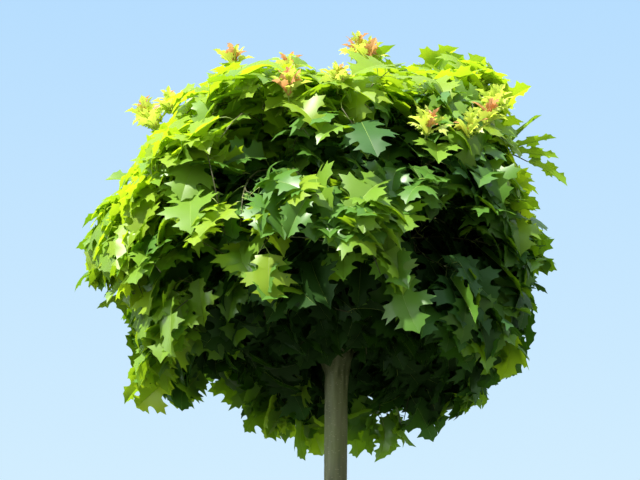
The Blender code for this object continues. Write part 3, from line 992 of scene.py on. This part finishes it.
def barkRelief(height, turn):
    make, total = relief, 0.0
    x, y = math.cos(turn), math.sin(turn)
    for around, along, depth in make["layers"]:
        total += noise.noise(Vector((x * around, y * around, height * along))) * depth
    (rim, narrow), (hollow, hollowNarrow) = make["scarRim"], make["scarHollow"]
    for scarHeight, azimuth, size in scars.values():
        above = (height - scarHeight) / size
        if abs(above) < make["scarEdge"]:
            aside = math.remainder(turn - math.radians(azimuth), math.tau)
            far = math.hypot(above, aside * make["scarGirth"] / (size * make["scarWidth"]))
            edge = rim * math.exp(-((far - 1.0) ** 2) * narrow)
            total += edge - hollow * math.exp(-far * far * hollowNarrow)
    start = make["callusStart"]
    if height > stem["height"] - start:
        around, along, depth = make["callus"]
        lumpy = noise.noise(Vector((x * around, y * around, height * along)))
        total += depth * lumpy * min(1.0, (height - stem["height"] + start) / start)
    return total


def deselect():
    bpy.ops.object.select_all(action="DESELECT")


def buildStem():
    deselect()
    top = stem["height"] + stem["headHeight"] * stem["topShare"]
    radius = stem["groundRadius"]
    bpy.ops.mesh.primitive_cylinder_add(vertices=stem["columns"], radius=radius, depth=top)
    made = bpy.context.object
    made.name = made.data.name = "stemWood"
    bpy.ops.object.mode_set(mode="EDIT")
    bpy.ops.mesh.select_mode(type="EDGE")
    for _ in range(2):
        bpy.ops.mesh.select_all(action="DESELECT")
        bpy.ops.object.mode_set(mode="OBJECT")
        points = made.data.vertices
        for edge in made.data.edges:
            a, b = (points[i].co for i in edge.vertices)
            edge.select = abs(a.z - b.z) > 1e-5
        bpy.ops.object.mode_set(mode="EDIT")
        bpy.ops.mesh.subdivide(number_cuts=stem["cuts"])
    bpy.ops.object.mode_set(mode="OBJECT")
    for vertex in made.data.vertices:
        height = vertex.co.z + top / 2
        turn = math.atan2(vertex.co.y, vertex.co.x)
        bumps = barkRelief(height, turn) if height > stem["cutFace"] else 0.0
        width = stemRadius(height, turn) + bumps
        middle = stemAxis(min(height, stem["height"]))
        vertex.co = Vector((middle.x + math.cos(turn) * width, middle.y + math.sin(turn) * width, height))
    made.location = (0, 0, 0)
    bpy.ops.object.shade_smooth()
    return made


boughs = {
    "baseRadius": 0.0098,
    "tipRadius": 0.0052,
    "collar": 1.9,
    "pull": 0.42,
    "sunk": 0.016,  # how far each starts inside the graft head
    "lowRing": 6.0,
    "highRing": 52.0,
    "highRingTurn": 11.0,
    "headRadius": 0.033,  # of the graft head where the rings start
    "highRise": 0.012,
    "topRise": 0.43,
    "points": 26,
    "collarFall": 9.0,
    "wander": (9.0, 0.004),  # how fine and how far they wander from their curve
    "grain": (110.0, 0.0005),
    "voxel": 0.0022,
    "smoothing": 4,
}


def headBearing(name):
    azimuth, elevation = masses[name]
    if elevation > 60.0:
        return bearing(azimuth, 90.0)
    if elevation > 0:
        return bearing(azimuth + boughs["highRingTurn"], boughs["highRing"])
    return bearing(azimuth, boughs["lowRing"])


def buildBoughs():
    curve = bpy.data.curves.new("boughWood", "CURVE")
    curve.dimensions, curve.bevel_depth, curve.bevel_resolution = "3D", 1.0, 3
    curve.use_fill_caps = True
    head = stemAxis(stem["height"]) + up * (stem["headHeight"] / 2)
    fine, far = boughs["wander"]
    noise.seed_set(growth["seed"])  # without it noise_vector is another one in each run
    for name in masses:
        tip, tipAxis = boughTip(name)
        axis = headBearing(name)
        rise = stem["headHeight"] * boughs["topRise"] if axis.z > 0.9 else boughs["headRadius"]
        start = head + axis * (rise - boughs["sunk"] + boughs["highRise"] * (axis.z > 0.5))
        pull = (tip - start).length * boughs["pull"]
        a, b = start + axis * pull, tip - tipAxis * pull
        spline = curve.splines.new("POLY")
        spline.points.add(boughs["points"] - 1)
        for i, place in enumerate(spline.points):
            t = i / (boughs["points"] - 1)
            u = 1 - t
            point = start * u**3 + a * (3 * u * u * t) + b * (3 * u * t * t) + tip * t**3
            point += Vector(noise.noise_vector(point * fine)) * far * math.sin(math.pi * t)
            width = boughs["baseRadius"] + (boughs["tipRadius"] - boughs["baseRadius"]) * t
            width *= 1 + (boughs["collar"] - 1) * math.exp(-t * boughs["collarFall"])
            place.co, place.radius = (*point, 1.0), width
    made = bpy.data.objects.new("boughWood", curve)
    bpy.context.scene.collection.objects.link(made)
    deselect()
    made.select_set(True)
    bpy.context.view_layer.objects.active = made
    bpy.ops.object.convert(target="MESH")
    made = bpy.context.object
    remesh = made.modifiers.new("remesh", "REMESH")
    remesh.mode, remesh.voxel_size, remesh.use_smooth_shade = "VOXEL", boughs["voxel"], True
    bpy.ops.object.modifier_apply(modifier=remesh.name)
    smooth = made.modifiers.new("smooth", "SMOOTH")
    smooth.iterations = boughs["smoothing"]
    bpy.ops.object.modifier_apply(modifier=smooth.name)
    normals = [vertex.normal.copy() for vertex in made.data.vertices]
    fine, depth = boughs["grain"]
    for vertex, normal in zip(made.data.vertices, normals):
        vertex.co += normal * (noise.noise(vertex.co * fine) * depth)
    return made


bark = {
    "pale": (0.180, 0.192, 0.096),
    "dark": (0.080, 0.090, 0.040),
    "algae": (0.13, 0.165, 0.048),
    "lenticel": (0.40, 0.35, 0.22),
    "roughness": 0.74,
    "toneGloss": 0.15,  # how much smoother the pale streaks are
    "streaks": (60.0, 9.0),  # repeats per metre round and along the stem, and more of them on boughs
    "boughScale": 1.6,
    "dashes": (90.0, 230.0),
    "patches": 9.0,
    "detail": (5.0, 3.0),
    "tones": (0.32, 0.68),  # between these values of each texture its colour comes in
    "mossy": (0.42, 0.66),
    "mossMost": 0.65,
    "dashEdge": (0.10, 0.22),
    "dashShare": 0.6,
    "bumpShares": (0.7, 0.3),  # of the streaks and of the lenticels
    "bump": (0.45, 0.0012),  # strength and depth
}


def barkMaterial(name, scale=1.0):
    make = bark
    material = bpy.data.materials.new(name)
    sheet = Sheet(material)
    place = sheet.node("ShaderNodeTexCoord", output=3)

    def stretched(around, along):
        return sheet.node("ShaderNodeMapping", {}, {"Vector": place, "Scale": (around, around, along)})

    around, along = make["streaks"]
    (streakDetail, patchDetail), streakPlace = make["detail"], stretched(around * scale, along)
    streaks = sheet.node("ShaderNodeTexNoise", {}, {
        "Vector": streakPlace, "Scale": 1.0, "Detail": streakDetail,
    })
    patches = sheet.node("ShaderNodeTexNoise", {}, {
        "Vector": place, "Scale": make["patches"], "Detail": patchDetail,
    })
    dashes = sheet.node("ShaderNodeTexVoronoi", {}, {"Vector": stretched(*make["dashes"]), "Scale": 1.0})
    lenticels = sheet.ramp(dashes, make["dashEdge"], (1.0, 0.0))
    tone = sheet.ramp(streaks, make["tones"])
    mossy = sheet.ramp(patches, make["mossy"], (0.0, make["mossMost"]))
    colour = sheet.mix(tone, solid(make["dark"]), solid(make["pale"]))
    colour = sheet.mix(mossy, colour, solid(make["algae"]))
    colour = sheet.mix(lenticels * make["dashShare"], colour, solid(make["lenticel"]))
    height = streaks * make["bumpShares"][0] + lenticels * make["bumpShares"][1]
    strength, depth = make["bump"]
    bump = sheet.node("ShaderNodeBump", {}, {"Height": height, "Strength": strength, "Distance": depth})
    sheet.ends(sheet.node("ShaderNodeBsdfPrincipled", {}, {
        "Base Color": colour, "Roughness": make["roughness"] - make["toneGloss"] * tone, "Normal": bump,
    }))
    return material


plainColours = {  # colour and roughness
    "twigBark": ((0.070, 0.070, 0.028), 0.6),
    "leafStalk": ((0.26, 0.36, 0.07), 0.5),
    "floorPaint": ((0.20, 0.21, 0.20), 0.85),
}


def plainMaterial(name):
    colour, roughness = plainColours[name]
    material = bpy.data.materials.new(name)
    sheet = Sheet(material)
    sheet.ends(sheet.node("ShaderNodeBsdfPrincipled", {}, {
        "Base Color": solid(colour), "Roughness": roughness,
    }))
    material.diffuse_color = solid(colour)
    return material


def dress(piece, slot, nodes=()):
    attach(piece, "root")
    if nodes:
        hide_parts(*nodes)


boughNodes = ["bough_" + name for name in masses]
foliageNodes = ["foliage_" + name for name in masses]
stemPiece = buildStem()
stemPiece.data.materials.append(barkMaterial("stemBark"))
dress(stemPiece, "bark", ["trunk"])
boughPiece = buildBoughs()
boughPiece.data.materials.append(barkMaterial("boughBark", bark["boughScale"]))
dress(boughPiece, "bough_bark", boughNodes)
print("wood done:", len(stemPiece.data.polygons), "and", len(boughPiece.data.polygons), "faces")

# The lime and fresh greens go to the young_leaf slot, though their paleness is partly painted light
darkLeaves = ("leafPaintedShade", "leafDeep", "leafMid")
for name, bundle in leafBundles.items():
    if bundle.count:
        piece = bundle.piece(name, leafMaterial(name))
        dress(piece, "leaf" if name in darkLeaves else "young_leaf", foliageNodes)
        print(name, len(piece.data.polygons), "triangles")
twigPiece = twigs.piece("twigWood", plainMaterial("twigBark"))
dress(twigPiece, "bough_bark", foliageNodes)
stalkMaterial = plainMaterial("leafStalk")
for name, bundle in (("leafStalks", stalks), ("leafRibsHigh", highRibs), ("leafRibsLow", lowRibs)):
    piece = bundle.piece(name, stalkMaterial)
    dress(piece, "young_leaf", foliageNodes)
    print(name, len(piece.data.polygons), "triangles")
print("twigs", len(twigPiece.data.polygons), "triangles")


# Studio: a plain floor, a blue backdrop, soft light from all round, and four lamps: a sun high at the
# front left, a wide light low at the left, and two that lift the shaded back and right
studio = {
    "floorRadius": 40.0,
    "floorSides": 96,
    "backdropHigh": (0.46, 0.72, 1.0),
    "backdropLow": (0.64, 0.85, 1.0),
    "backdropRise": (0.13, 0.46),
    "skyLight": (1.95, 2.45, 3.00),
    "skyStrength": 0.78,
    "groundLight": (0.170, 0.190, 0.130),
    "horizon": (-0.10, 1.00),  # the light from all round rises between these heights
    "lampDistance": 6.0,
}

# Lamps: the way to each, its strength, angle and colour, and whether the leaves mirror it
lamps = {
    "keyLight": (light["sunward"], 11.4, 2.0, (1.0, 0.96, 0.88), True),
    "fillLight": (light["fillward"], 3.0, 45.0, (0.90, 0.96, 1.0), True),
    "backLight": (light["backward"], 2.1, 60.0, (1.0, 1.0, 0.9), False),
    "sideLight": (light["sideward"], 1.2, 60.0, (1.0, 1.0, 0.9), False),
}

camera = {
    "place": (-0.0365, -3.5, 1.45),
    "tilt": 107.0,  # degrees up from straight down
    "lens": 81.0,
    "sensor": 36.0,
}


def addSun(name, way, strength, angle, colour, mirrored):
    turn = way.to_track_quat("Z", "Y").to_euler()
    bpy.ops.object.light_add(type="SUN", location=way * studio["lampDistance"], rotation=turn)
    lamp = bpy.context.object
    lamp.name = name
    lamp.data.energy = strength
    lamp.data.angle = math.radians(angle)
    lamp.data.color = colour
    lamp.visible_glossy = mirrored


def buildStudio():
    deselect()
    sides, radius = studio["floorSides"], studio["floorRadius"]
    bpy.ops.mesh.primitive_circle_add(vertices=sides, radius=radius, fill_type="NGON")
    floor = bpy.context.object
    floor.name = "floor"
    floor.data.materials.append(plainMaterial("floorPaint"))
    floor.visible_diffuse = False
    floor.visible_glossy = False
    floor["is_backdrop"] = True
    world = bpy.data.worlds.new("studio")
    bpy.context.scene.world = world
    sheet = Sheet(world)
    way = sheet.node("ShaderNodeTexCoord", output=0)
    split = sheet.node("ShaderNodeSeparateXYZ", {}, {0: way}, 2)
    rise = sheet.ramp(split, studio["horizon"])
    backRise = sheet.ramp(split, studio["backdropRise"])
    lightColour = sheet.mix(rise * rise, solid(studio["groundLight"]), solid(studio["skyLight"]))
    backColour = sheet.mix(backRise, solid(studio["backdropLow"]), solid(studio["backdropHigh"]))
    lit = sheet.node("ShaderNodeBackground", {}, {"Color": lightColour, "Strength": studio["skyStrength"]})
    seen = sheet.node("ShaderNodeBackground", {}, {"Color": backColour, "Strength": 1.0})
    ray = sheet.node("ShaderNodeLightPath")
    sheet.ends(sheet.node("ShaderNodeMixShader", {}, {0: ray, 1: lit, 2: seen}), "ShaderNodeOutputWorld")
    for name, lamp in lamps.items():
        addSun(name, *lamp)


def buildCamera():
    deselect()
    turn = (math.radians(camera["tilt"]), 0.0, 0.0)
    bpy.ops.object.camera_add(location=camera["place"], rotation=turn)
    made = bpy.context.object
    made.data.sensor_width = camera["sensor"]
    made.data.lens = camera["lens"]
    bpy.context.scene.camera = made
    bpy.context.scene.view_settings.view_transform = "Standard"


buildStudio()
buildCamera()
sizes = {"cad": cadBox, "visual": [list(corner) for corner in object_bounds()]}
print("visual box:", sizes["visual"])
